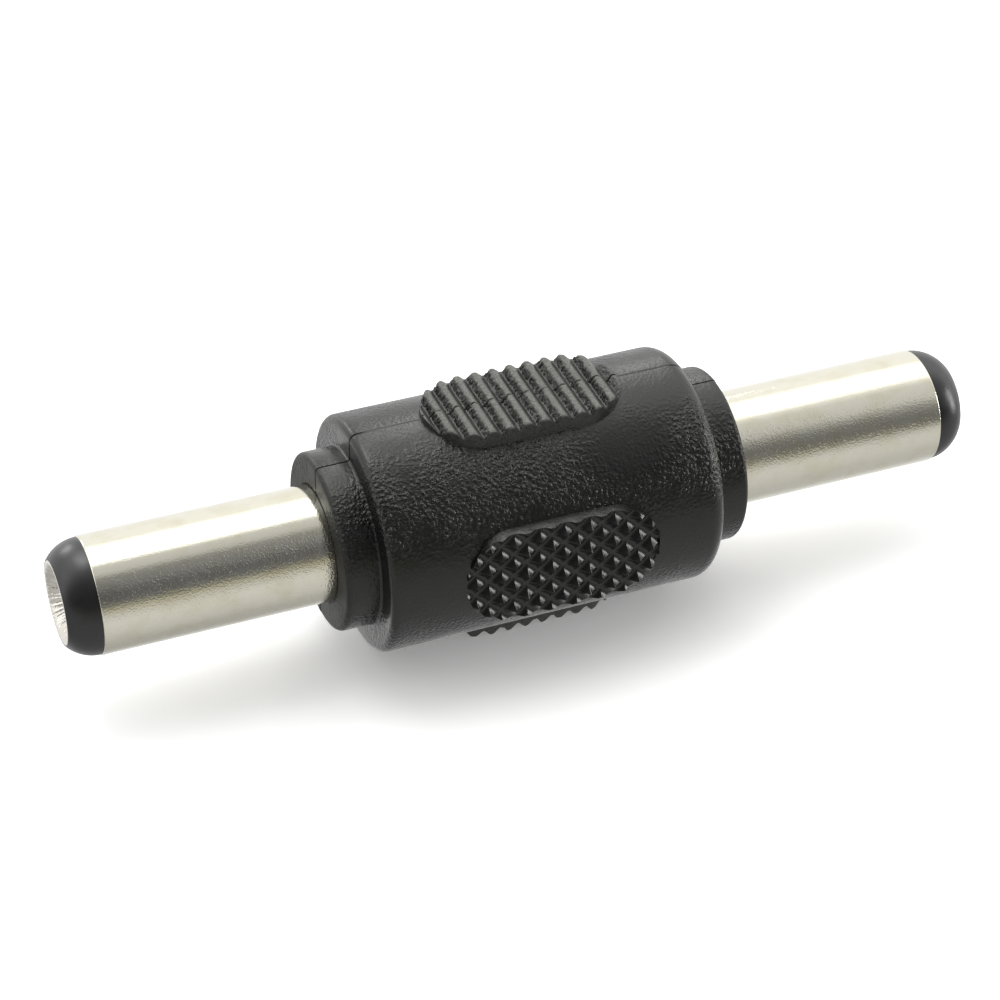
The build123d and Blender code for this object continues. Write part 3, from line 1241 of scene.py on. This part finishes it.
@dataclass
class Studio:
    """A white paper floor, four soft lamps, the soft light of a small tent all round, and the camera."""

    floor_level: float = -5.9
    floor_half: float = 1500.0
    backdrop: str = "#FEFEFD"
    camera_place: Place = (-42.17, -103.88, 83.65)
    camera_target: Place = (-0.863, 0.229, -0.141)
    camera_roll: float = 0.42
    lens: float = 108.0
    sensor: float = 36.0
    nearest_seen: float = 1.0
    farthest_seen: float = 10000.0
    tent_strength: float = 2.5
    tent_turns: Span = (0.25, 0.38)
    warm_green: float = 0.06
    warm_blue: float = 0.4
    lamps: tuple[Lamp, ...] = (
        Lamp("overhead_softbox", (-35.0, 95.0, 240.0), 130.0, 130.0, 0.18),
        Lamp("side_softbox", (210.0, -52.0, 26.0), 34.0, 110.0, 0.16),
        Lamp("back_strip", (75.0, 186.0, 150.0), 25.0, 140.0, 0.06),
        Lamp("corner_softbox", (-75.0, 222.0, 98.0), 70.0, 70.0, 0.08),
    )

    def floor(self) -> None:
        """Lays the floor under the lower grip."""
        half, level = self.floor_half, self.floor_level
        corners = np.array([(-half, -half, level), (half, -half, level), (half, half, level), (-half, half, level)])
        sheet = mesh_object("paper_floor", corners, [(0, 1, 2, 3)])
        sheet.data.materials.append(WhitePaper().make())
        sheet.visible_glossy = False

    def tent_side(self, add: Adder, turn: bpy.types.Node, stops: Stops) -> bpy.types.Node:
        """Adds the light of one side of the tent.

        Args:
            add: What adds a node to the world's tree.
            turn: The direction's angle as a share of the whole turn.
            stops: The light by degrees.

        Returns:
            The node that gives the light's colour.
        """
        ramp = add("ShaderNodeValToRGB", turn)
        elements = ramp.color_ramp.elements
        while len(elements) > 1:
            elements.remove(elements[-1])
        for number, (degrees, brightness, *warmth) in enumerate(stops):
            place = (degrees + 180) / 360
            stop = elements[0] if number == 0 else elements.new(place)
            stop.position = place
            level, warm = brightness / self.tent_strength, sum(warmth)
            stop.color = (level, level * (1 - self.warm_green * warm), level * (1 - self.warm_blue * warm), 1.0)
        return ramp

    def tent(self) -> None:
        """Sets the light all round, which changes with the angle that it comes from and from left to right."""
        world = bpy.data.worlds.new("light_tent")
        bpy.context.scene.world = world
        world.use_nodes = True
        world.node_tree.nodes.clear()
        add = partial(add_node, world.node_tree)
        x, y, z = add(AXES, add("ShaderNodeTexCoord").outputs["Generated"]).outputs
        front = add(TIMES, y, -1.0)
        angle = add(MATH, z, front, operation="ARCTAN2")
        turn = add(RANGE, angle, -math.pi, math.pi)
        left, right = (self.tent_side(add, turn, stops) for stops in (LEFT_TENT, RIGHT_TENT))
        sideways = add(SMOOTH_RANGE, x, *self.tent_turns)
        both = add(MIX, {0: sideways, 6: left, 7: right})
        tent = add("ShaderNodeBackground", both.outputs[2], self.tent_strength)
        backdrop = add("ShaderNodeBackground", linear(self.backdrop), 1.0)
        seen = add("ShaderNodeLightPath").outputs["Is Camera Ray"]
        shown = add("ShaderNodeMixShader", seen, tent, backdrop)
        add("ShaderNodeOutputWorld", shown)

    def camera(self) -> None:
        """Sets the camera where the photograph was taken from."""
        place = Vector(self.camera_place) * MM
        look = (Vector(self.camera_target) * MM - place).normalized()
        level = look.cross(Vector((0.0, 0.0, 1.0))).normalized()
        upright = level.cross(look)
        roll = math.radians(self.camera_roll)
        right = level * math.cos(roll) + upright * math.sin(roll)
        turn = Matrix((right, right.cross(look), -look)).transposed()
        data = bpy.data.cameras.new("photo_camera")
        data.lens, data.sensor_width = self.lens, self.sensor
        data.clip_start, data.clip_end = metres(self.nearest_seen, self.farthest_seen)
        eye = bpy.data.objects.new("photo_camera", data)
        eye.matrix_world = Matrix.Translation(place) @ turn.to_4x4()
        bpy.context.scene.collection.objects.link(eye)
        bpy.context.scene.camera = eye

    def build(self) -> None:
        """Sets up the floor, the lights, the camera and the plain view of colours."""
        self.floor()
        self.tent()
        for lamp in self.lamps:
            lamp.build()
        self.camera()
        bpy.context.scene.view_settings.view_transform = "Standard"
        bpy.context.scene.view_settings.look = "None"


def main() -> None:
    """Builds every sub-assembly in order."""
    logging.basicConfig(level=logging.INFO, format="%(name)s %(message)s")
    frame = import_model()
    palette = Palette()
    MouldedBody().build(palette)
    for side in (-1, 1):
        Plug(side).build(palette, frame["nodes"])
    Links().build(palette, frame["nodes"])
    Studio().build()


if __name__ == "__main__":
    main()
